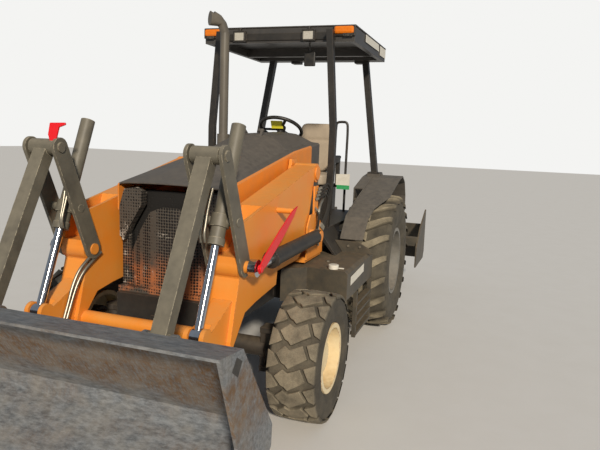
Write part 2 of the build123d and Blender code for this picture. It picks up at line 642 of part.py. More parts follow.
def fenders():
    """Long sheets that slope up over the rear wheels, with an inner wall behind the step-through."""
    run = [(-885, 970), (-730, 1140), (-450, 1235), (-110, 1330), (280, 1430), (450, 1448),
           (600, 1380), (700, 1230), (735, 1060)]
    cover = plate(strip(run, -FENDER_SHEET), FENDER_EDGE, FENDER_OUT)
    cover += plate(strip([(-80, 1338), *run[4:]], -FENDER_SHEET), FENDER_IN, FENDER_EDGE + 2)
    cover += plate(strip([(y, z + 8) for y, z in run[:5]], -FENDER_SHEET - 24), FENDER_EDGE, FENDER_EDGE + 10)
    out = FENDER_OUT
    taper = Polyline((out + 1, -240), (out + 1, -1000), (out - 100, -1000), (out - 80, -520), close=True)
    cover -= extrude(Plane.XY.offset(900) * make_face(taper), amount=600)
    wall = outline([(-80, 1022), (-80, 1335), *[(y, z - 4) for y, z in run[4:8]], (725, 1100), (500, 1022)])
    cover += plate(wall, FENDER_IN, FENDER_IN + FENDER_SHEET)
    cover += block((PLATFORM_HALF + SEAT, FENDER_IN + 2), (-80, 430), (1022, 1048))
    cover += block((FENDER_EDGE - 70, FENDER_EDGE + 70), (330, 490), (1405, FENDER_PAD))
    return both(cover)


def steering_column():
    tilt = Plane(origin=COLUMN[0], z_dir=(0, 0.5, 0.866))
    wheel = tilt * Torus(190, 16)
    for angle in (90, 210, 330):
        spoke = Rot(0, 0, angle) * Pos(95, 0, -8) * Box(190, 26, 10)
        wheel += tilt * spoke
    wheel += tilt * Cylinder(42, 40)
    wheel += tube(COLUMN, 30)
    return wheel


def seat_base():
    base = block((-190, 270), (0, 420), (PLATFORM_TOP + SEAT, 1330))
    for x in (-250, 290):
        base += block((x, x + 40), (60, 340), (1560, 1600))
        base += block((x, x + 40), (300, 340), (1330, 1560))
    base += block((-250, 330), (300, 340), (1300, 1330))
    base += block((-100, 140), (400 + SEAT, 500), (1200, 1445 - SEAT))
    return base


def seat_cushion():
    pad = block((-210, 280), (-80, 400), (1330 + SEAT, 1440))
    return fillet(pad.edges().filter_by(Axis.Z), 50)


def seat_back():
    pad = outline([(400, 1445), (520, 1445), (560, 1960), (460, 1960)])
    return plate(pad, -205, 215)


def rops_frame():
    """Bowed front posts with a bracket to the roof's edge, and splayed rear posts on the fenders."""
    bow = [(x - 27, z) for x, z in FRONT_POST] + [(x + 27, z) for x, z in FRONT_POST[::-1]]
    side = extrude(Plane.XZ.offset(850) * make_face(Polyline(*bow, close=True)), amount=-54)
    x = FRONT_POST[0][0]
    side += block((x - 27, x + 27), (-797, CANOPY_FRONT - SEAT), (CANOPY_BOTTOM + 20, CANOPY_BOTTOM + 80))
    foot = Vector(FENDER_EDGE, 410, 1440)
    head = Vector(508, 470, CANOPY_BOTTOM + 40)
    place = Plane(origin=foot, x_dir=(0, 1, 0), z_dir=head - foot)
    post = place * Box(70, 60, (head - foot).length, align=(Align.CENTER, Align.CENTER, Align.MIN))
    post = split(post, Plane.XY.offset(CANOPY_BOTTOM - SEAT), keep=Keep.BOTTOM)
    post = split(post, Plane.XY.offset(FENDER_PAD + SEAT), keep=Keep.TOP)
    foot_plate = block((FENDER_EDGE - 65, FENDER_EDGE + 65), (340, 480), (FENDER_PAD + SEAT, FENDER_PAD + 15))
    return both(side + post + foot_plate)


def canopy_roof():
    roof = block((-CANOPY_HALF, CANOPY_HALF), (CANOPY_FRONT, CANOPY_REAR), (CANOPY_BOTTOM, CANOPY_TOP - 8))
    roof = chamfer(roof.edges().group_by(Axis.Z)[-1], 8)
    lid = CANOPY_HALF + 6
    roof += block((-lid, lid), (CANOPY_FRONT - 6, CANOPY_REAR + 6), (CANOPY_TOP - 9, CANOPY_TOP))
    for y0, y1 in ((CANOPY_FRONT + 45, 90), (150, 405)):
        roof -= block((-CANOPY_HALF + 45, CANOPY_HALF - 45), (y0, y1), (CANOPY_BOTTOM - 1, CANOPY_BOTTOM + 70))
    return roof


def lamps():
    """Work lamps under the front fascia and marker lamps at its corners."""
    set_of = Part()
    low = CANOPY_BOTTOM + 15
    for x in (-340, 300):
        set_of += block((x - 50, x + 50), (CANOPY_FRONT - 40, CANOPY_FRONT - SEAT), (low, low + 75))
    for x in (-640, 640):
        set_of += block((x - 40, x + 40), (CANOPY_FRONT - 28, CANOPY_FRONT - SEAT), (low + 25, low + 75))
    return set_of


# Rear hitch and box scraper
def hitch_frame():
    face = FRAME_REAR + SEAT
    carrier = block((-230, 230), (face, face + 40), (480, 1010))
    carrier += block((-HITCH_X - 60, HITCH_X + 60), (face, face + 40), (480, 640))
    ear = bar((face + 60, HITCH_PIVOT[1]), HITCH_PIVOT, 60, 40)
    for x in (-HITCH_X, HITCH_X):
        for start in (x - 42, x + 18):
            carrier += plate(ear, start, start + 24)
        carrier += cross_pin(HITCH_PIVOT, 18, x - 30, x + 30)
    top_ear = bar((face + 45, TOP_LINK_FRONT[1]), TOP_LINK_FRONT, 45, 34)
    for start in (-56, 32):
        carrier += plate(top_ear, start, start + 24)
    carrier += cross_pin(TOP_LINK_FRONT, 15, -50, 50)
    drawbar = block((-45, 45), (face + 39, DRAWBAR_HOLE + 50), (480, 480 + TOW_LUG))
    return carrier + drawbar - Pos(0, DRAWBAR_HOLE, 480) * Cylinder(TOW_PIN_R, 3 * TOW_LUG)


def hitch_arms():
    arm = plate(bar(HITCH_PIVOT, HITCH_BALL, 38, 38), HITCH_X - 12, HITCH_X + 12)
    arm -= cross_pin(HITCH_PIVOT, 18 + PIN_FIT, HITCH_X - 20, HITCH_X + 20)
    return both(arm - cross_pin(HITCH_BALL, 16 + PIN_FIT, HITCH_X - 20, HITCH_X + 20))


def top_link():
    """Turnbuckle whose rear eye stands open between the mast plates."""
    link = tube([(0, *TOP_LINK_FRONT), (0, *TOP_LINK_REAR)], 20)
    link += cross_pin(TOP_LINK_FRONT, 32, -26, 26) + cross_pin(TOP_LINK_REAR, 30, -24, 24)
    return link - cross_pin(TOP_LINK_FRONT, 15 + PIN_FIT, -60, 60)


def box_scraper():
    half = SCRAPER_WIDTH / 2
    cheek = outline([(SCRAPER_FRONT, SCRAPER_BOTTOM), (SCRAPER_REAR - 60, SCRAPER_BOTTOM),
                     (SCRAPER_REAR, 400), (SCRAPER_REAR - 40, 940), (SCRAPER_FRONT + 250, 760),
                     (SCRAPER_FRONT, 560)])
    scraper = plate(cheek, half - 16, half) + plate(cheek, -half, -half + 16)
    blade = strip([(SCRAPER_REAR - 120, 320), (SCRAPER_REAR - 60, 520), (SCRAPER_REAR - 110, 760)], 14)
    scraper += plate(blade, -half + 10, half - 10)
    beam_y = SCRAPER_FRONT + 60
    scraper += block((-half + 10, half - 10), (beam_y, beam_y + 100), (560, 660))
    ear = bar(HITCH_BALL, (beam_y + 20, 590), 36, 45)
    for x in (-HITCH_X, HITCH_X):
        for start in (x - 42, x + 18):
            scraper += plate(ear, start, start + 24)
        scraper += cross_pin(HITCH_BALL, 16, x - 30, x + 30)
    for x in (-900, -600, -180, 180, 600, 900):
        scraper += block((x - 13, x + 13), (beam_y + 25, beam_y + 80), (345, 740))
    mast = outline([(beam_y, 640), (beam_y + 100, 640), (1300, 970), (1220, 970), (1220, 890), (1290, 860)])
    for start in (-56, 32):
        scraper += plate(mast, start, start + 24)
    return scraper


def make_pieces():
    pieces = {
        "chassis_frame": chassis_frame(),
        "engine_block": engine_block(),
        "drive_line": drive_line(),
        "front_axle": front_axle(),
        "rear_axle": rear_axle(),
        "loader_towers": loader_towers(),
        "grille_housing": grille_housing(),
        "hood_top": hood_top(),
        "cowl": cowl(),
        "exhaust_stack": exhaust_stack(),
        "platform": platform(),
        "step_tank_left": step_tank(),
        "step_box_right": mirror(step_tank(), about=Plane.YZ),
        "fenders": fenders(),
        "steering_column": steering_column(),
        "seat_base": seat_base(),
        "seat_cushion": seat_cushion(),
        "seat_back": seat_back(),
        "rops_frame": rops_frame(),
        "canopy_roof": canopy_roof(),
        "lamps": lamps(),
        "knuckle_left": knuckle(1),
        "knuckle_right": knuckle(-1),
        "loader_arms": loader_arms(),
        "safety_strut": safety_strut(),
        "bucket_levers": bucket_levers(),
        "bucket_links": bucket_links(),
        "bucket_barrels": bucket_barrels(),
        "bucket_rods": bucket_rods(),
        "lift_barrels": lift_barrels(),
        "lift_rods": lift_rods(),
        "bucket": bucket(),
        "hitch_frame": hitch_frame(),
        "hitch_arms": hitch_arms(),
        "top_link": top_link(),
        "box_scraper": box_scraper(),
    }
    pieces.update(wheel_pieces())
    return pieces


# The machine's front is the bucket's tip and its rear the scraper's: the origin lies midway
FRONT_EDGE = tipped((BUCKET_HEEL[0] - BUCKET_FLOOR, BUCKET_HEEL[1]))[0]
LIP_EDGE = tipped(BUCKET_LIP)[0]
ORIGIN_Y = (min(FRONT_EDGE, LIP_EDGE) + SCRAPER_REAR) / 2

os.makedirs("parts", exist_ok=True)
for node, solid in make_pieces().items():
    export_step(Pos(0, -ORIGIN_Y, 0) * solid, "parts/" + node + ".step")
print("origin lies", round(ORIGIN_Y, 3), "mm behind the rear axle")
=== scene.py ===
import math

import bmesh
import bpy
from mathutils import Matrix, Vector


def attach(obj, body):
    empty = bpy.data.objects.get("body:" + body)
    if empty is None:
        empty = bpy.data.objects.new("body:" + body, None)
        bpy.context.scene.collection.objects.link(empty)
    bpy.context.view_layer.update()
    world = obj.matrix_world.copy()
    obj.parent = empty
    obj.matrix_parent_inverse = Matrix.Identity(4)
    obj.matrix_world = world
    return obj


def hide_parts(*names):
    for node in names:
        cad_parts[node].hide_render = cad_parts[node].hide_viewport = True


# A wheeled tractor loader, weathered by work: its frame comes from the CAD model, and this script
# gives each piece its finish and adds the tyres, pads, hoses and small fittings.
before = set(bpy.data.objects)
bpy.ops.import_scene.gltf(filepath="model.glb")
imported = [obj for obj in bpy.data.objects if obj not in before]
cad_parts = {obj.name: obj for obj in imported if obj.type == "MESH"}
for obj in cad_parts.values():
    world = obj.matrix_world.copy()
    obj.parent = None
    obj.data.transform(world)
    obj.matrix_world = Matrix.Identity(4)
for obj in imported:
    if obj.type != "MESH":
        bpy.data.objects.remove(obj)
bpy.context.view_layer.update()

# The rear axle's distance behind the middle of the machine, and the wheelbase, in metres
REAR_AXLE = 0.88029
WHEELBASE = 2.15
# Each left wheel's middle, given as place() takes it
FRONT_HUB = (0.87, -WHEELBASE, 0.4175)
REAR_HUB = (0.83, 0, 0.6425)
# Half the thickness of every hydraulic hose
HOSE_RADIUS = 0.0088
# The corner lamps' distance from the roof's middle
CORNER_LAMP_X = 0.605


def place(x, y, z):
    """A point given from the ground under the rear axle."""
    return Vector((x, y + REAR_AXLE, z))


# Camera: it stands ahead of the machine, to its left, at the height of a person's eye
def stand_camera():
    yaw, pitch, roll = -0.3302, 0.1522, 0.0386
    ahead = Vector((math.sin(yaw) * math.cos(pitch), math.cos(yaw) * math.cos(pitch), -math.sin(pitch)))
    level = Vector((math.cos(yaw), -math.sin(yaw), 0))
    above = level.cross(ahead)
    across = level * math.cos(roll) + above * math.sin(roll)
    up = above * math.cos(roll) - level * math.sin(roll)
    data = bpy.data.cameras.new("camera")
    picture_width, focal_length = 600, 573.99
    data.sensor_width = 36
    data.lens = data.sensor_width * focal_length / picture_width
    camera = bpy.data.objects.new("camera", data)
    camera.matrix_world = Matrix.Translation(place(1.9245, -5.5455, 1.8093)) @ Matrix((
        (across.x, up.x, -ahead.x), (across.y, up.y, -ahead.y), (across.z, up.z, -ahead.z),
    )).to_4x4()
    bpy.context.scene.collection.objects.link(camera)
    bpy.context.scene.camera = camera


# Colours and patterns
def paint(code):
    """An sRGB hex colour as the linear colour that shaders use."""
    parts = [int(code[i:i + 2], 16) / 255 for i in (0, 2, 4)]
    return (*[c / 12.92 if c <= 0.04045 else ((c + 0.055) / 1.055) ** 2.4 for c in parts], 1.0)


def add(tree, kind, inputs=(), out=0, **settings):
    """Adds one node with its settings and links, and gives one of its outputs.
    An input is a value or another node's output. Where two colours are mixed, they are
    inputs 6 and 7, and the mixed colour is output 2."""
    item = tree.nodes.new(kind)
    for name, value in settings.items():
        setattr(item, name, value)
    for key, value in dict(inputs).items():
        if isinstance(value, bpy.types.NodeSocket):
            tree.links.new(value, item.inputs[key])
        else:
            item.inputs[key].default_value = value
    return item.outputs[out]


def start(name, roughness, metallic=0.0):
    finish = bpy.data.materials.new(name)
    finish.use_nodes = True
    shader = finish.node_tree.nodes["Principled BSDF"]
    shader.inputs["Roughness"].default_value = roughness
    shader.inputs["Metallic"].default_value = metallic
    return finish, finish.node_tree, shader


def grain(tree, size_mm, low, high, share=1.0, detail=4.0, rough=0.55, stretch=(1, 1, 1)):
    """Cloudy marks of a real size: 0 where the noise is under low, and the full share from high up."""
    where = add(tree, "ShaderNodeTexCoord", out="Object")
    where = add(tree, "ShaderNodeMapping", {"Vector": where, "Scale": stretch})
    noise = add(tree, "ShaderNodeTexNoise", {
        "Vector": where, "Scale": 1000 / size_mm, "Detail": detail, "Roughness": rough,
    })
    return add(tree, "ShaderNodeMapRange", {
        "Value": noise, "From Min": low, "From Max": high, "To Max": share,
    })


def settled_dust(tree, share):
    """Dust lies where the surface faces the sky, in fine uneven drifts."""
    normal = add(tree, "ShaderNodeNewGeometry", out="Normal")
    up = add(tree, "ShaderNodeSeparateXYZ", {0: normal}, out="Z")
    up = add(tree, "ShaderNodeMapRange", {"Value": up, "From Min": 0.2, "From Max": 0.95})
    return add(tree, "ShaderNodeMath", {0: up, 1: grain(tree, 35, 0.2, 0.6, share, 6)}, operation="MULTIPLY")


def worn_edges(tree, width_mm, share):
    """Paint rubbed off along outside edges, in broken runs."""
    flat = add(tree, "ShaderNodeNewGeometry", out="Normal")
    rounded = add(tree, "ShaderNodeBevel", {"Radius": width_mm / 1000}, samples=6)
    same = add(tree, "ShaderNodeVectorMath", {0: flat, 1: rounded}, out="Value", operation="DOT_PRODUCT")
    edge = add(tree, "ShaderNodeMapRange", {"Value": same, "From Min": 0.995, "From Max": 0.90})
    broken = grain(tree, 22, 0.46, 0.56, share, 6, 0.7)
    return add(tree, "ShaderNodeMath", {0: edge, 1: broken}, operation="MULTIPLY")


def outboard(tree, metres):
    """1 beyond this distance from the machine's middle line, and 0 within it."""
    where = add(tree, "ShaderNodeTexCoord", out="Object")
    x = add(tree, "ShaderNodeSeparateXYZ", {0: where}, out="X")
    x = add(tree, "ShaderNodeMath", {0: x}, operation="ABSOLUTE")
    return add(tree, "ShaderNodeMapRange", {
        "Value": x, "From Min": metres - 0.001, "From Max": metres + 0.001,
    })


def side_strip(tree, metres):
    """The bonnet's painted side strips: all its side, and only a band along the cowl behind it."""
    where = add(tree, "ShaderNodeTexCoord", out="Object")
    y = add(tree, "ShaderNodeSeparateXYZ", {0: where}, out="Y")
    z = add(tree, "ShaderNodeSeparateXYZ", {0: where}, out="Z")
    bonnet_end, band_end, band_foot = -0.342, 0.06, 1.560
    bonnet = add(tree, "ShaderNodeMath", {0: y, 1: bonnet_end}, operation="LESS_THAN")
    high = add(tree, "ShaderNodeMath", {0: z, 1: band_foot}, operation="GREATER_THAN")
    ahead = add(tree, "ShaderNodeMath", {0: y, 1: band_end}, operation="LESS_THAN")
    band = add(tree, "ShaderNodeMath", {0: high, 1: ahead}, operation="MULTIPLY")
    band = add(tree, "ShaderNodeMath", {0: bonnet, 1: band}, operation="MAXIMUM")
    return add(tree, "ShaderNodeMath", {0: band, 1: outboard(tree, metres)}, operation="MULTIPLY")


def enamel(name, coat, faded, dust, rust, gloss, dusty, chipped, sides=None):
    """Sprayed machine enamel after years outdoors: chalky fading, dust where it faces the sky,
    rust-brown chips along the edges and a few specks on the flats."""
    finish, tree, shader = start(name, gloss)
    film = grain(tree, 90, 0.38, 0.72, dusty * 0.5, 6, 0.65)
    settled = settled_dust(tree, dusty)
    speck = add(tree, "ShaderNodeMath", {
        0: grain(tree, 14, 0.70, 0.74, chipped, 8, 0.7), 1: grain(tree, 150, 0.48, 0.62),
    }, operation="MULTIPLY")
    worn = add(tree, "ShaderNodeMath", {0: worn_edges(tree, 7, chipped), 1: speck}, operation="MAXIMUM")
    layers = [(grain(tree, 260, 0.35, 0.7, 1, 5, 0.6), faded)]
    if sides:
        layers.append((side_strip(tree, sides[0]), sides[1]))
    colour = paint(coat)
    for share, top in (*layers, (film, dust), (settled, dust), (worn, rust)):
        colour = add(tree, "ShaderNodeMix", {
            "Factor": share, 6: colour, 7: paint(top),
        }, out=2, data_type="RGBA")
    tree.links.new(colour, shader.inputs["Base Color"])
    matt = add(tree, "ShaderNodeMath", {0: settled, 1: worn}, operation="MAXIMUM")
    rough = add(tree, "ShaderNodeMapRange", {"Value": matt, "To Min": gloss, "To Max": 0.85})
    tree.links.new(rough, shader.inputs["Roughness"])
    height = add(tree, "ShaderNodeMath", {0: grain(tree, 9, 0, 1, 1, 3), 1: worn}, operation="SUBTRACT")
    rounded = add(tree, "ShaderNodeBevel", {"Radius": 0.004}, samples=6)
    bump = add(tree, "ShaderNodeBump", {
        "Strength": 0.12, "Distance": 0.002, "Height": height, "Normal": rounded,
    })
    tree.links.new(bump, shader.inputs["Normal"])
    return finish


def bare_steel(name, metal, scale, rust, dust, metallic, roughness, banded=False):
    """Mild steel scoured bright by soil: long scratches, dark mill scale in the hollows, brown rust."""
    finish, tree, shader = start(name, roughness, metallic)
    scratches = grain(tree, 26, 0.36, 0.62, 1, 8, 0.7, (0.5, 1.3, 1.3))
    pits = grain(tree, 40, 0.58, 0.68, 0.6, 8, 0.8)
    rusty = grain(tree, 320, 0.47, 0.62, 1, 6, 0.65, (0.5, 1, 1))
    if banded:
        where = add(tree, "ShaderNodeTexCoord", out="Object")
        height = add(tree, "ShaderNodeSeparateXYZ", {0: where}, out="Z")
        level = add(tree, "ShaderNodeMath", {0: height, 1: grain(tree, 420, 0.3, 0.7, 0.16)}, operation="ADD")
        foot = add(tree, "ShaderNodeMapRange", {"Value": level, "From Min": 0.60, "From Max": 0.72})
        head = add(tree, "ShaderNodeMapRange", {"Value": level, "From Min": 0.98, "From Max": 0.90})
        band = add(tree, "ShaderNodeMath", {0: foot, 1: head}, operation="MULTIPLY")
        thin = add(tree, "ShaderNodeMath", {0: rusty, 1: 0.45}, operation="MULTIPLY")
        rusty = add(tree, "ShaderNodeMath", {0: thin, 1: band}, operation="MAXIMUM")
    fibres = grain(tree, 12, 0.3, 0.62, 1, 6, 0.7, (1, 0.3, 0.3))
    rusty = add(tree, "ShaderNodeMath", {0: rusty, 1: fibres}, operation="MULTIPLY")
    film = grain(tree, 120, 0.42, 0.7, 0.4, 6)
    colour = paint(scale)
    for share, top in ((scratches, metal), (pits, scale), (rusty, rust), (film, dust)):
        colour = add(tree, "ShaderNodeMix", {
            "Factor": share, 6: colour, 7: paint(top),
        }, out=2, data_type="RGBA")
    tree.links.new(colour, shader.inputs["Base Color"])
    matt = add(tree, "ShaderNodeMath", {0: rusty, 1: film}, operation="MAXIMUM")
    rough = add(tree, "ShaderNodeMapRange", {"Value": matt, "To Min": roughness, "To Max": 0.85})
    tree.links.new(rough, shader.inputs["Roughness"])
    bump = add(tree, "ShaderNodeBump", {"Strength": 0.3, "Distance": 0.003, "Height": scratches})
    tree.links.new(bump, shader.inputs["Normal"])
    return finish


def dusty_rubber(name, rubber, dust, dusty, wheel=None):
    """Black rubber, grey with age, with pale road dust. On a tyre the dust is made heavier on the tread's
    tops and thinner down in the grooves, which is painted light on the tops and painted shade in the grooves.
    """
    finish, tree, shader = start(name, 0.85)
    cloud = grain(tree, 110, 0.25, 0.7, 0.6 * dusty, 6, 0.6)
    fine = grain(tree, 6, 0.25, 0.75, 0.4 * dusty, 6, 0.7)
    share = add(tree, "ShaderNodeMath", {0: cloud, 1: fine}, operation="ADD")
    if wheel:
        axle, groove, crown = wheel
        where = add(tree, "ShaderNodeTexCoord", out="Object")
        where = add(tree, "ShaderNodeVectorMath", {0: where, 1: axle}, operation="SUBTRACT")
        where = add(tree, "ShaderNodeVectorMath", {0: where, 1: (0, 1, 1)}, operation="MULTIPLY")
        radius = add(tree, "ShaderNodeVectorMath", {0: where}, out="Value", operation="LENGTH")
        # Paler on the tread tops and darker down towards the groove floor: painted light on the tops and
        # painted shade in the grooves.
        worn = add(tree, "ShaderNodeMapRange", {
            "Value": radius, "From Min": groove, "From Max": crown, "To Min": 0.35, "To Max": 1.25,
        })
        share = add(tree, "ShaderNodeMath", {0: share, 1: worn}, operation="MULTIPLY")
    colour = add(tree, "ShaderNodeMix", {
        "Factor": share, 6: paint(rubber), 7: paint(dust),
    }, out=2, data_type="RGBA")
    tree.links.new(colour, shader.inputs["Base Color"])
    height = grain(tree, 5, 0, 1, 1, 6, 0.7)
    bump = add(tree, "ShaderNodeBump", {"Strength": 0.35, "Distance": 0.002, "Height": height})
    tree.links.new(bump, shader.inputs["Normal"])
    return finish


def plain(name, code, roughness, metallic, mottle, share, size_mm=40, sides=None):
    """A simple moulded, plated or glazed surface with a little handling dirt."""
    finish, tree, shader = start(name, roughness, metallic)
    colour = paint(code)
    layers = [(outboard(tree, sides[0]), sides[1])] if sides else []
    for cover, top in (*layers, (grain(tree, size_mm, 0.4, 0.75, share, 6, 0.65), mottle)):
        colour = add(tree, "ShaderNodeMix", {
            "Factor": cover, 6: colour, 7: paint(top),
        }, out=2, data_type="RGBA")
    tree.links.new(colour, shader.inputs["Base Color"])
    height = grain(tree, 4, 0, 1, 1, 3)
    bump = add(tree, "ShaderNodeBump", {"Strength": 0.1, "Distance": 0.001, "Height": height})
    tree.links.new(bump, shader.inputs["Normal"])
    return finish


def punched_screen(name):
    """Black perforated sheet. Its round holes are painted near-black, as painted shade seen through them, and
    the part behind the screen's front is painted near-black too, as painted shade in the recess. Its
    orange-brown patches, heavier low down, and its pale patches are partly rust and fluff and partly painted
    sunlight on the shaded sheet.
    """
    finish, tree, shader = start(name, 0.7)
    where = add(tree, "ShaderNodeTexCoord", out="Object")
    # The holes lie further apart than in such sheet, so that they show
    pitch_mm = 19
    cells = add(tree, "ShaderNodeTexVoronoi", {"Vector": where, "Scale": 1000 / pitch_mm, "Randomness": 0.15})
    web = add(tree, "ShaderNodeMapRange", {"Value": cells, "From Min": 0.34, "From Max": 0.46})
    low = add(tree, "ShaderNodeSeparateXYZ", {0: where}, out="Z")
    low = add(tree, "ShaderNodeMapRange", {"Value": low, "From Min": 1.06, "From Max": 0.86})
    rusty = grain(tree, 200, 0.38, 0.55, 0.9, 5, 0.6)
    rusty = add(tree, "ShaderNodeMath", {0: rusty, 1: low}, operation="MULTIPLY")
    fluff_and_painted_sun = grain(tree, 150, 0.58, 0.66, 0.75, 6, 0.65)
    colour = paint("4A443D")
    # The orange-brown patches, heavier low down, and the pale patches are partly rust and fluff and partly
    # painted sunlight on the shaded screen.
    for share, top in ((rusty, "B0683A"), (fluff_and_painted_sun, "D0C8BC")):
        colour = add(tree, "ShaderNodeMix", {
            "Factor": share, 6: colour, 7: paint(top),
        }, out=2, data_type="RGBA")
    # The holes are painted near-black: painted shade seen through them.
    colour = add(tree, "ShaderNodeMix", {
        "Factor": web, 6: paint("080706"), 7: colour,
    }, out=2, data_type="RGBA")
    # Behind the screen's front the sheet is painted near-black: painted shade in the recess.
    screen_back = -1.500
    painted_recess_shade = add(tree, "ShaderNodeSeparateXYZ", {0: where}, out="Y")
    painted_recess_shade = add(tree, "ShaderNodeMapRange", {
        "Value": painted_recess_shade, "From Min": screen_back, "From Max": screen_back + 0.002,
    })
    colour = add(tree, "ShaderNodeMix", {
        "Factor": painted_recess_shade, 6: colour, 7: paint("141210"),
    }, out=2, data_type="RGBA")
    tree.links.new(colour, shader.inputs["Base Color"])
    bump = add(tree, "ShaderNodeBump", {"Strength": 0.8, "Distance": 0.003, "Height": web})
    tree.links.new(bump, shader.inputs["Normal"])
    return finish


# Sun-faded orange sprayed enamel of the loader: warm, chalky on top, chipped to brown at the edges
ORANGE = enamel("orange_enamel", "E8892A", "E2933C", "C8A068", "74441E", 0.38, 0.25, 0.6)
# Dark grey enamel of the bucket linkage, dulled by dried mud and paler along its edges
GREY = enamel("dark_grey_enamel", "555147", "676255", "918977", "B5AB94", 0.5, 0.5, 0.8)
# The bonnet's matt grey top with its orange side strips
BONNET = enamel("bonnet_enamel", "46423E", "524D48", "7C7468", "7A7266", 0.5, 0.35, 0.4, (0.372, "E8892A"))
# Grey-brown fenders under a film of road dust
FENDER = enamel("fender_enamel", "48443F", "524D47", "847C6F", "7A7266", 0.5, 0.4, 0.4)
# Satin black frame enamel, brown where dust clings
BLACK = enamel("black_enamel", "22201E", "2B2926", "5C5448", "635040", 0.45, 0.35, 0.5)
# Black enamel of the tank, the step box and the scraper, under brown dust baked on their tops
TANK = enamel("tank_enamel", "3A3730", "454138", "786850", "5E4630", 0.5, 0.6, 0.5)
# Bright red enamel of the safety strut and the lock hook, hardly faded
RED = enamel("red_enamel", "E00E1A", "E41A24", "C0685C", "7A2620", 0.35, 0.06, 0.2)
# Chalky cream rim enamel, spotted with rust that has run from its edges
CREAM = enamel("cream_enamel", "E6D8B4", "DCC495", "B4905A", "9A5422", 0.5, 0.5, 1.0)
# Weathered grey rim enamel with brown scuffs
RIM_GREY = enamel("rim_grey_enamel", "7C7A74", "5E5C56", "9A9082", "4A3A2C", 0.5, 0.5, 0.8)
# The roof's dark grey shell, a little blue where it mirrors the sky
CANOPY = enamel("canopy_enamel", "3A3836", "444240", "6E675C", "6A6258", 0.4, 0.3, 0.4)
# Black grease and dust caked on castings
CAST = enamel("oily_casting", "2B2723", "37312B", "655948", "5A4028", 0.6, 0.6, 0.4)
# The bucket's steel: blue-grey and bright where soil scours it, with a rust-brown band across
SCOURED = bare_steel("scoured_bucket_steel", "8C9094", "5E6266", "74583A", "9A948A", 0.35, 0.5, True)
# The top link's steel, gone dull and rusty
WORN = bare_steel("worn_steel", "7E7A72", "45413B", "6B4A2E", "8A7E6C", 0.4, 0.55)
# Exhaust pipe: smooth, heat-browned grey
EXHAUST = enamel("exhaust_enamel", "57524A", "686257", "7E7668", "54463A", 0.4, 0.3, 0.2)
# Hard chrome on the ram rods, mirror-bright under a light film
CHROME = plain("hard_chrome", "CACCD0", 0.14, 1.0, "7E7A74", 0.3)
# Zinc-plated pipe and fittings, yellowed
ZINC = plain("zinc_tube", "A39E90", 0.38, 0.8, "6E6250", 0.5, 25)
# Black rubber hose, scuffed grey
HOSE = dusty_rubber("hose_rubber", "161514", "5A544A", 0.3)
# Front tyre rubber with tan dust, paler on its tread tops and darker down in its grooves as painted light and
# shade
FRONT_TYRE = dusty_rubber("front_tyre_rubber", "201E1B", "8E8470", 1.0,
                          ((0, REAR_AXLE - WHEELBASE, FRONT_HUB[2]), 0.385, 0.412))
# Rear tyre rubber with the same dust, paler on its lug tops and darker down in its grooves as painted light
# and shade
REAR_TYRE = dusty_rubber("rear_tyre_rubber", "201E1B", "988D76", 1.0,
                         ((0, REAR_AXLE, REAR_HUB[2]), 0.600, 0.632))
# Tan vinyl of the seat, with a soft sheen and rubbed lighter
VINYL = plain("tan_vinyl", "A39480", 0.5, 0.0, "B8A992", 0.4, 60)
# Matt black moulded plastic, greyed by handling
PLASTIC = plain("black_plastic", "1B1A19", 0.45, 0.0, "5B5449", 0.35)
# Clear work lamp lenses, with the solids behind the corner lamps kept dark
LENS = plain("lamp_lens", "B9B5AA", 0.15, 0.0, "8E887C", 0.5, 12, (0.5, "24221F"))
# Amber moulding of the corner lamps
AMBER = plain("amber_lens", "D86E0C", 0.15, 0.0, "EE9A3C", 0.4, 12)
# Plain white labels without print, and the white filler cap
WHITE = plain("white_label", "DAD6CA", 0.45, 0.0, "A89C84", 0.35)
# The tag's green foot
GREEN = plain("green_tag", "2E9A5A", 0.5, 0.0, "8AC0A0", 0.3)
# Yellow tag on the steering wheel
YELLOW = plain("yellow_tag", "E6DC3A", 0.5, 0.0, "C8AE3A", 0.2)
# Silvered mirror glass in its black back
MIRROR = plain("mirror_glass", "B8BEC4", 0.05, 1.0, "8E8A84", 0.15)
# Perforated nose screens, painted near-black in their holes and recess as painted shade, with pale and
# orange-brown patches that are partly painted sunlight
SCREEN = punched_screen("punched_screen")

CAD_FINISH = {
    "loader_arms": ORANGE, "loader_towers": ORANGE, "bucket_barrels": GREY, "lift_barrels": BLACK,
    "cowl": BONNET, "box_scraper": TANK, "safety_strut": RED,
    "bucket_levers": GREY, "bucket_links": GREY, "fenders": FENDER, "hood_top": BONNET,
    "chassis_frame": BLACK, "platform": BLACK, "step_tank_left": TANK, "step_box_right": TANK,
    "rops_frame": BLACK, "seat_base": BLACK, "grille_housing": SCREEN, "canopy_roof": CANOPY,
    "hitch_arms": BLACK, "hitch_frame": CAST, "engine_block": CAST, "drive_line": CAST,
    "front_axle": CAST, "rear_axle": CAST, "knuckle_left": CAST, "knuckle_right": CAST,
    "bucket": SCOURED, "exhaust_stack": EXHAUST, "top_link": WORN, "bucket_rods": CHROME,
    "lift_rods": CHROME, "steering_column": PLASTIC, "lamps": LENS, "seat_cushion": VINYL,
    "seat_back": VINYL, "front_rim_left": CREAM, "front_rim_right": CREAM,
    "rear_rim_left": RIM_GREY, "rear_rim_right": RIM_GREY, "front_tyre_left": FRONT_TYRE,
    "front_tyre_right": FRONT_TYRE, "rear_tyre_left": REAR_TYRE, "rear_tyre_right": REAR_TYRE,
}


def dress_frame():
    for node, finish in CAD_FINISH.items():
        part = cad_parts[node]
        part.data.materials.clear()
        part.data.materials.append(finish)


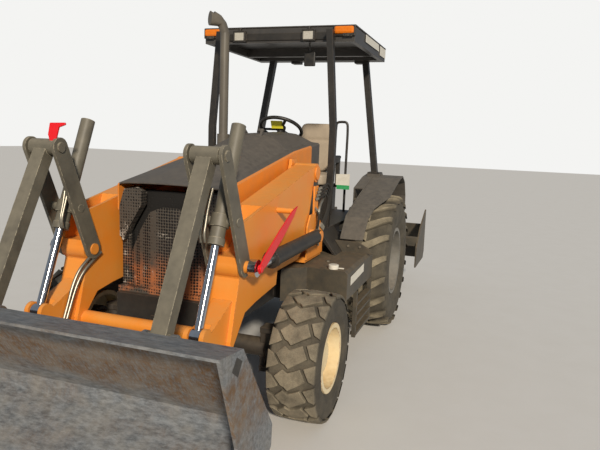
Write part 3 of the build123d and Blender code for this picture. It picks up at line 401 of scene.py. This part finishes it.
# Making pieces
def piece(name, shape, finish, body, bevel=0.0, smooth=False):
    """Turns a bmesh into an object that rides on a body, with its edges eased by a bevel."""
    mesh = bpy.data.meshes.new(name)
    bmesh.ops.recalc_face_normals(shape, faces=shape.faces)
    shape.to_mesh(mesh)
    shape.free()
    obj = bpy.data.objects.new(name, mesh)
    obj.data.materials.append(finish)
    bpy.context.scene.collection.objects.link(obj)
    if smooth:
        mesh.shade_smooth()
    if bevel:
        edge = obj.modifiers.new("eased edges", "BEVEL")
        edge.width = bevel
        edge.segments = 2
        edge.limit_method = "ANGLE"
        edge.angle_limit = math.radians(35)
    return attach(obj, body)


def slab(shape, x, y, z):
    """A box from three (low, high) pairs."""
    corners = [shape.verts.new(place(x[i & 1], y[i >> 1 & 1], z[i >> 2])) for i in range(8)]
    for face in ((0, 1, 3, 2), (4, 5, 7, 6), (0, 1, 5, 4), (2, 3, 7, 6), (0, 2, 6, 4), (1, 3, 7, 5)):
        shape.faces.new([corners[i] for i in face])


def rod(shape, a, b, radius, sides=16):
    """A round bar between two points, with flat ends."""
    a, b = place(*a), place(*b)
    turn = (b - a).to_track_quat("Z", "Y").to_matrix().to_4x4()
    at = Matrix.Translation((a + b) / 2) @ turn
    bmesh.ops.create_cone(shape, cap_ends=True, segments=sides, radius1=radius, radius2=radius,
                          depth=(b - a).length, matrix=at)


def card(shape, corners, thickness):
    """A thin flat plate from its corners, given thickness along its normal."""
    points = [place(*c) for c in corners]
    away = (points[1] - points[0]).cross(points[2] - points[0]).normalized() * thickness
    near = [shape.verts.new(p) for p in points]
    far = [shape.verts.new(p + away) for p in points]
    shape.faces.new(near)
    shape.faces.new(far[::-1])
    for i, v in enumerate(near):
        j = (i + 1) % len(near)
        shape.faces.new((v, far[i], far[j], near[j]))


def pipe(name, points, radius, finish, body):
    """A bent tube or hose along a smooth line through the machine."""
    data = bpy.data.curves.new(name, "CURVE")
    data.dimensions = "3D"
    data.bevel_depth = radius
    data.bevel_resolution = 3
    line = data.splines.new("NURBS")
    line.points.add(len(points) - 1)
    for point, spot in zip(line.points, points):
        point.co = (*place(*spot), 1)
    line.order_u = 3
    line.use_endpoint_u = True
    line.resolution_u = 8
    data.use_fill_caps = True
    obj = bpy.data.objects.new(name, data)
    data.materials.append(finish)
    bpy.context.scene.collection.objects.link(obj)
    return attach(obj, body)


def hose(name, points, radius, body):
    """A rubber hose that hangs free between two fittings, with a crimped metal ferrule at each end."""
    tube = pipe(name, points, radius, HOSE, body)
    ferrule_length, ferrule_radius = 0.035, radius * 1.35
    ends = bmesh.new()
    for tip, after in ((points[0], points[1]), (points[-1], points[-2])):
        run = Vector(after) - Vector(tip)
        rod(ends, tip, Vector(tip) + run.normalized() * ferrule_length, ferrule_radius, 6)
    ferrules = piece(name + "_ferrules", ends, ZINC, body)


# Tyres: a turned carcass with tread blocks laid round it. Distances in metres.
def ring(shape, section, steps):
    """Turns a section of (radius, offset) points about X, and joins its turns with faces."""
    turns = []
    for i in range(steps):
        angle = 2 * math.pi * i / steps
        turns.append([shape.verts.new((x, -r * math.cos(angle), r * math.sin(angle))) for r, x in section])
    for i, turn in enumerate(turns):
        after = turns[(i + 1) % steps]
        for j in range(len(section)):
            k = (j + 1) % len(section)
            shape.faces.new((turn[j], after[j], after[k], turn[k]))


def tread_block(shape, outline, crown, floor):
    """One block: its outline in (offset, angle), its top on the crown and its foot in the carcass."""
    rows = []
    for top in (True, False):
        row = []
        for x, angle in outline:
            r = crown(x) if top else floor
            row.append(shape.verts.new((x if top else x * 1.04, -r * math.cos(angle), r * math.sin(angle))))
        rows.append(row)
    shape.faces.new(rows[0])
    for i in range(len(outline)):
        k = (i + 1) % len(outline)
        shape.faces.new((rows[0][i], rows[1][i], rows[1][k], rows[0][k]))


FRONT_BLOCKS = [
    [(-0.64, 0.00), (-0.30, -0.36), (-0.10, -0.22), (0.08, -0.30), (0.40, -0.47), (0.64, 0.08),
     (-0.08, 0.60), (-0.22, 0.44), (-0.36, 0.38)],
    [(-0.98, -0.14), (-0.74, -0.02), (-0.46, 0.42), (-0.62, 0.54), (-0.98, 0.72)],
    [(0.54, -0.50), (0.98, -0.72), (0.98, 0.14), (0.76, 0.02)],
]


def front_tyre(side, sign):
    shape = bmesh.new()
    half, outer, bead, floor = 0.156, 0.4170, 0.214, 0.385
    ring(shape, [
        (bead, -0.120), (0.230, -0.132), (0.275, -0.154), (0.330, -half), (0.375, -0.150), (0.390, -0.135),
        (0.394, 0), (0.390, 0.135), (0.375, 0.150), (0.330, half), (0.275, 0.154), (0.230, 0.132),
        (bead, 0.120), (bead, 0),
    ], 72)
    count = 19
    for i in range(count):
        for block in FRONT_BLOCKS:
            lie = [(sign * u * 0.152, (i - v) * 2 * math.pi / count) for u, v in block]
            tread_block(shape, lie, lambda x: outer - 0.010 * (abs(x) / half) ** 3 - 0.0005, floor)
    tyre = piece("front_tread_" + side, shape, FRONT_TYRE, "front_wheel_" + side, 0.004)
    tyre.data.transform(Matrix.Translation(place(sign * FRONT_HUB[0], *FRONT_HUB[1:])))
    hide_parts("front_tyre_" + side)


def rear_tyre(side, sign):
    shape = bmesh.new()
    half, outer, bead, floor = 0.219, 0.6420, 0.314, 0.575
    ring(shape, [
        (bead, -0.172), (0.335, -0.186), (0.40, -0.212), (0.48, -half), (0.545, -0.212), (0.590, -0.190),
        (0.602, -0.12), (0.606, 0), (0.602, 0.12), (0.590, 0.190), (0.545, 0.212), (0.48, half),
        (0.40, 0.212), (0.335, 0.186), (bead, 0.172), (bead, 0),
    ], 96)
    count = 20
    step = 2 * math.pi / count
    for i in range(count):
        for hand in (-1, 1):
            shift = i + (0.5 if hand > 0 else 0)
            run = []
            for x, lead in ((-0.02, -0.62), (0.06, -0.40), (0.13, -0.16), (0.185, 0.02), (0.214, 0.10)):
                run.append((hand * x, (shift + lead) * step))
            width = 0.42 * step
            far = [(x, a + width * (1 - 0.1 * n)) for n, (x, a) in enumerate(run)]
            tread_block(shape, run + far[::-1], lambda x: outer - 0.03 * (abs(x) / half) ** 4, floor)
    tyre = piece("rear_tread_" + side, shape, REAR_TYRE, "rear_wheel_" + side, 0.006)
    tyre.data.transform(Matrix.Translation(place(sign * REAR_HUB[0], *REAR_HUB[1:])))
    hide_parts("rear_tyre_" + side)


def wheel_nuts(side, sign):
    """Studs and nuts round each hub."""
    for body, x, y, z, radius, count, size_m in (
        ("front_wheel_", 0.894, *FRONT_HUB[1:], 0.115, 8, 0.012),
        ("rear_wheel_", 0.784, *REAR_HUB[1:], 0.138, 10, 0.015),
    ):
        shape = bmesh.new()
        for i in range(count):
            angle = 2 * math.pi * i / count
            at = (y + radius * math.cos(angle), z + radius * math.sin(angle))
            rod(shape, (sign * (x - 0.012), *at), (sign * (x + 0.014), *at), size_m, 6)
            rod(shape, (sign * x, *at), (sign * (x + 0.026), *at), size_m * 0.5, 10)
        piece(body + side + "_nuts", shape, ZINC, body + side)


# Seat: two foam pads in vinyl, drawn as rounded boxes that bulge
def pad(name, centre, half, lean, folds, replaced):
    shape = bmesh.new()
    bmesh.ops.create_cube(shape, size=2)
    bmesh.ops.subdivide_edges(shape, edges=shape.edges, cuts=22, use_grid_fill=True)
    tilt = Matrix.Rotation(lean, 4, "X")
    squareness, fold_depth, fold_width = 7, 0.22, 0.035
    for v in shape.verts:
        reach = sum(abs(c) ** squareness for c in v.co) ** (1 / squareness)
        u = v.co / reach
        fold = sum(fold_depth * math.exp(-((u.z - at) / fold_width) ** 2) for at in folds)
        spot = Vector((u.x * half[0], u.y * (half[1] - fold * half[1]), u.z * half[2]))
        v.co = tilt @ spot + place(*centre)
    cushion = piece(name, shape, VINYL, "chassis", smooth=True)
    smooth = cushion.modifiers.new("soft skin", "SUBSURF")
    smooth.levels = smooth.render_levels = 1
    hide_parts(replaced)


def seat():
    pad("seat_back_pad", (0.03, 0.468, 1.702), (0.192, 0.058, 0.255), -0.10, (0.30,), "seat_back")
    pad("seat_pad", (0.035, 0.160, 1.392), (0.243, 0.238, 0.061), 0.0, (), "seat_cushion")
    arms = bmesh.new()
    for x in (-0.25, 0.29):
        slab(arms, (x - 0.006, x + 0.046), (0.04, 0.35), (1.598, 1.632))
    piece("arm_rests", arms, PLASTIC, "chassis", 0.012)


# Roof fittings
def roof_fittings():
    lamps = bmesh.new()
    for x in (CORNER_LAMP_X, -CORNER_LAMP_X):
        slab(lamps, (x - 0.084, x + 0.084), (-0.778, -0.745), (2.670, 2.733))
    piece("corner_lamps", lamps, AMBER, "chassis", 0.02)
    rims = bmesh.new()
    for x in (CORNER_LAMP_X, -CORNER_LAMP_X):
        slab(rims, (x - 0.096, x + 0.096), (-0.758, -0.740), (2.654, 2.740))
    for x in (0.298, -0.342):
        slab(rims, (x - 0.058, x + 0.058), (-0.775, -0.740), (2.615, 2.710))
        for low, high in ((2.615, 2.629), (2.696, 2.710)):
            slab(rims, (x - 0.058, x + 0.058), (-0.788, -0.775), (low, high))
        for edge in (x - 0.058, x + 0.044):
            slab(rims, (edge, edge + 0.014), (-0.788, -0.775), (2.629, 2.696))
        slab(rims, (x - 0.012, x + 0.012), (-0.775, -0.745), (2.708, 2.734))
    slab(rims, (-0.45, 0.47), (-0.752, -0.742), (2.628, 2.690))
    for x in (0.45, -0.25):
        slab(rims, (x - 0.05, x + 0.05), (0.44, 0.54), (2.585, 2.612))
    piece("lamp_housings", rims, BLACK, "chassis", 0.006)
    labels = bmesh.new()
    x = 0.7015
    card(labels, ((x, -0.37, 2.728), (x, -0.37, 2.665), (x, 0.21, 2.665), (x, 0.19, 2.728)), 0.002)
    card(labels, ((x, 0.26, 2.728), (x, 0.26, 2.640), (x, 0.53, 2.640), (x, 0.53, 2.728)), 0.002)
    piece("roof_side_labels", labels, WHITE, "chassis")
    back = bmesh.new()
    slab(back, (0.22, 0.32), (-0.640, -0.610), (2.425, 2.545))
    rod(back, (0.27, -0.62, 2.53), (0.27, -0.66, 2.66), 0.008)
    piece("mirror_back", back, PLASTIC, "chassis", 0.012)
    glass = bmesh.new()
    slab(glass, (0.230, 0.310), (-0.612, -0.607), (2.435, 2.535))
    piece("mirror_face", glass, MIRROR, "chassis", 0.004)


# Exhaust: the stack ends in an elbow cut upright, lined with black and closed a little way in by a black
# disc, which is painted shade in the pipe's depth
def stack_elbow():
    root, heading = place(-0.352, -1.110, 2.712), Vector((-0.41, -0.55, 0.72)).normalized()
    mouth, facing = place(-0.412, -1.192, 2.738), Vector((-0.62, -0.78, 0.05)).normalized()
    steps = 24
    rings = []
    for centre, normal, wide, tall in (
        (root, heading, 0.0392, 0.0392), (mouth, facing, 0.040, 0.058), (mouth, facing, 0.034, 0.052),
        (mouth - facing * 0.03, facing, 0.030, 0.045),
    ):
        across = normal.cross(Vector((0, 0, 1))).normalized()
        up = across.cross(normal)
        angles = [2 * math.pi * i / steps for i in range(steps)]
        rings.append([centre + across * wide * math.cos(a) + up * tall * math.sin(a) for a in angles])
    # The mouth's black lining ends in a black disc: painted shade in the pipe's depth.
    for name, loops, finish in (("stack_elbow", rings[:3], EXHAUST), ("stack_mouth_shade", rings[2:], PLASTIC)):
        shape = bmesh.new()
        turns = [[shape.verts.new(p) for p in loop] for loop in loops]
        for turn, after in zip(turns, turns[1:]):
            for i in range(steps):
                k = (i + 1) % steps
                shape.faces.new((turn[i], turn[k], after[k], after[i]))
        shape.faces.new(turns[-1])
        piece(name, shape, finish, "chassis")


# Operator's controls and the things tied to them
def controls():
    levers = bmesh.new()
    for x, y, lean in ((-0.30, -0.16, -0.03), (-0.34, -0.10, -0.03), (-0.33, 0.0, 0.02), (0.36, -0.05, 0.02)):
        rod(levers, (x, y, 1.045), (x + lean, y - 0.05, 1.50), 0.008)
        rod(levers, (x + lean, y - 0.05, 1.49), (x + lean * 1.2, y - 0.056, 1.56), 0.019)
    piece("hand_levers", levers, PLASTIC, "chassis", 0.003)
    pipe("hand_hoop", [
        (0.40, 0.30, 1.05), (0.40, 0.30, 1.55), (0.405, 0.30, 1.93), (0.39, 0.30, 1.975), (0.35, 0.30, 1.98),
        (0.29, 0.30, 1.975), (0.275, 0.30, 1.94), (0.27, 0.30, 1.60),
    ], 0.013, BLACK, "chassis")
    tag = bmesh.new()
    card(tag, ((0.335, 0.18, 1.445), (0.335, 0.18, 1.335), (0.48, 0.18, 1.335), (0.48, 0.18, 1.452)), 0.003)
    piece("white_tag", tag, WHITE, "chassis")
    foot = bmesh.new()
    card(foot, (
        (0.345, 0.179, 1.335), (0.345, 0.179, 1.292), (0.48, 0.179, 1.292), (0.48, 0.179, 1.335),
    ), 0.003)
    piece("tag_foot", foot, GREEN, "chassis")
    slip = bmesh.new()
    card(slip, (
        (-0.070, -0.655, 1.945), (-0.070, -0.625, 1.878), (0.042, -0.625, 1.878), (0.042, -0.655, 1.945),
    ), 0.003)
    piece("wheel_tag", slip, YELLOW, "chassis")


# Fluid lines on the towers: a rack with its hoses, and a steel tube
def fluid_lines():
    for sign, side in ((1, "left"), (-1, "right")):
        rack = bmesh.new()
        slab(rack, tuple(sorted((sign * 0.607, sign * 0.621))), (-1.425, -1.330), (1.200, 1.445))
        piece("hose_rack_" + side, rack, ORANGE, "chassis", 0.003)
        # Each hose arches over the one before it, a hose's width and a little more away
        for i in range(4):
            arch = (
                (0.620, -1.412 + 0.0216 * i, 1.345 + 0.024 * i),
                (0.652, -1.360 + 0.016 * i, 1.358 + 0.026 * i),
                (0.661 + 0.001 * i, -1.270 + 0.014 * i, 1.385 + 0.027 * i),
                (0.663, -1.195 + 0.023 * i, 1.331 + 0.020 * i), (0.650, -1.200 + 0.022 * i, 1.209),
                (0.620, -1.260 + 0.024 * i, 1.115 - 0.012 * i),
            )
            hose(f"tower_hose_{side}_{i}", [(sign * x, y, z) for x, y, z in arch], HOSE_RADIUS, "chassis")
        hose("rack_loop_" + side, [
            (sign * 0.620, -1.405, 1.28), (sign * 0.655, -1.412, 1.245), (sign * 0.655, -1.405, 1.19),
            (sign * 0.645, -1.395, 1.13), (sign * 0.620, -1.385, 1.09),
        ], HOSE_RADIUS, "chassis")
        pipe("tower_tube_" + side, [
            (sign * 0.628, -1.09, 1.40), (sign * 0.630, -1.28, 1.33), (sign * 0.634, -1.36, 1.24),
            (sign * 0.634, -1.36, 1.10), (sign * 0.634, -1.34, 0.98),
        ], 0.012, ZINC, "chassis")


# Tank and step fittings
def tank_fittings():
    cap = bmesh.new()
    rod(cap, (0.83, -1.555, 0.859), (0.83, -1.555, 0.892), 0.038, 24)
    slab(cap, (0.865, 0.905), (-1.545, -1.525), (0.860, 0.868))
    piece("filler_cap", cap, WHITE, "chassis", 0.006)
    label = bmesh.new()
    x = 0.9515
    card(label, ((x, -1.50, 0.800), (x, -1.50, 0.735), (x, -1.08, 0.755), (x, -1.08, 0.820)), 0.0015)
    piece("tank_label", label, WHITE, "chassis")
    bolts = bmesh.new()
    for x in (0.77, 0.87):
        rod(bolts, (x, -0.905, 0.915), (x, -0.889, 0.915), 0.011, 6)
    rod(bolts, (0.72, -1.33, 0.859), (0.72, -1.33, 0.868), 0.016, 6)
    piece("fence_bolts", bolts, ZINC, "chassis")


# Loader fittings: black cards as painted shade in the lifting holes in the bucket's sides, a lock hook and
# the rams' steel tubes
def loader_fittings():
    # Each lifting hole is a black card on the side plate: painted shade where the hole is.
    eye = bmesh.new()
    for sign in (1, -1):
        x = sign * 1.0404
        card(eye, (
            (x, -3.646, 0.970), (x, -3.595, 0.937), (x, -3.633, 0.884), (x, -3.687, 0.924),
        ), sign * -0.0003)
    piece("bucket_side_hole_shade", eye, PLASTIC, "bucket")
    hook = bmesh.new()
    y = -2.94
    card(hook, (
        (-0.450, y, 1.70), (-0.430, y, 1.70), (-0.395, y, 1.81), (-0.350, y, 1.825),
        (-0.352, y, 1.838), (-0.455, y, 1.835), (-0.470, y, 1.77),
    ), 0.012)
    piece("lock_hook", hook, RED, "levers", 0.003)
    for sign, side in ((1, "left"), (-1, "right")):
        for i in (0, 1):
            x = sign * (0.472 - 0.020 * i)
            pipe(f"gland_tube_{side}_{i}", [
                (x, -2.862 - 0.01 * i, 1.235), (x, -2.874 - 0.01 * i, 1.27), (x, -2.856 - 0.01 * i, 1.33),
                (x, -2.83, 1.42), (x + sign * 0.01, -2.80, 1.52),
            ], 0.008, ZINC, "bucket_barrels")
            d = 0.026 * i
            pipe(f"arm_tube_{side}_{i}", [
                (sign * 0.418, -2.58 - d, 1.04 + d), (sign * 0.418, -2.70 - d, 0.985 + d),
                (sign * 0.438, -2.775 - d, 0.89 + d), (sign * 0.440, -2.85 - d, 0.73),
                (sign * 0.440, -2.91 - d, 0.60),
            ], 0.010, ZINC, "loader")


# Floor, light and air
def light_studio():
    world = bpy.data.worlds.new("daylight")
    bpy.context.scene.world = world
    world.use_nodes = True
    tree = world.node_tree
    sky = add(tree, "ShaderNodeBackground", {"Color": paint("CFDBEA"), "Strength": 0.36})
    seen = add(tree, "ShaderNodeBackground", {"Color": paint("F4F4F2"), "Strength": 1.0})
    ray = add(tree, "ShaderNodeLightPath", out="Is Camera Ray")
    mix = add(tree, "ShaderNodeMixShader", {0: ray, 1: sky, 2: seen})
    tree.links.new(mix, tree.nodes["World Output"].inputs["Surface"])
    data = bpy.data.lights.new("low_sun", "SUN")
    data.energy = 3.7
    data.angle = math.radians(5)
    data.color = (1.0, 0.90, 0.76)
    sun = bpy.data.objects.new("low_sun", data)
    sun.rotation_euler = Vector((-0.447, 0.797, -0.46)).to_track_quat("-Z", "Y").to_euler()
    bpy.context.scene.collection.objects.link(sun)
    shape = bmesh.new()
    bmesh.ops.create_grid(shape, x_segments=1, y_segments=1, size=40)
    mesh = bpy.data.meshes.new("floor")
    shape.to_mesh(mesh)
    shape.free()
    floor = bpy.data.objects.new("floor", mesh)
    pale = plain("pale_floor", "D8D6D2", 0.9, 0.0, "CFCCC6", 0.3, 300)
    floor.data.materials.append(pale)
    bpy.context.scene.collection.objects.link(floor)


stand_camera()
light_studio()
dress_frame()
for side, sign in (("left", 1), ("right", -1)):
    front_tyre(side, sign)
    rear_tyre(side, sign)
    wheel_nuts(side, sign)
seat()
roof_fittings()
stack_elbow()
controls()
fluid_lines()
tank_fittings()
loader_fittings()

bpy.context.scene.view_settings.view_transform = "Standard"
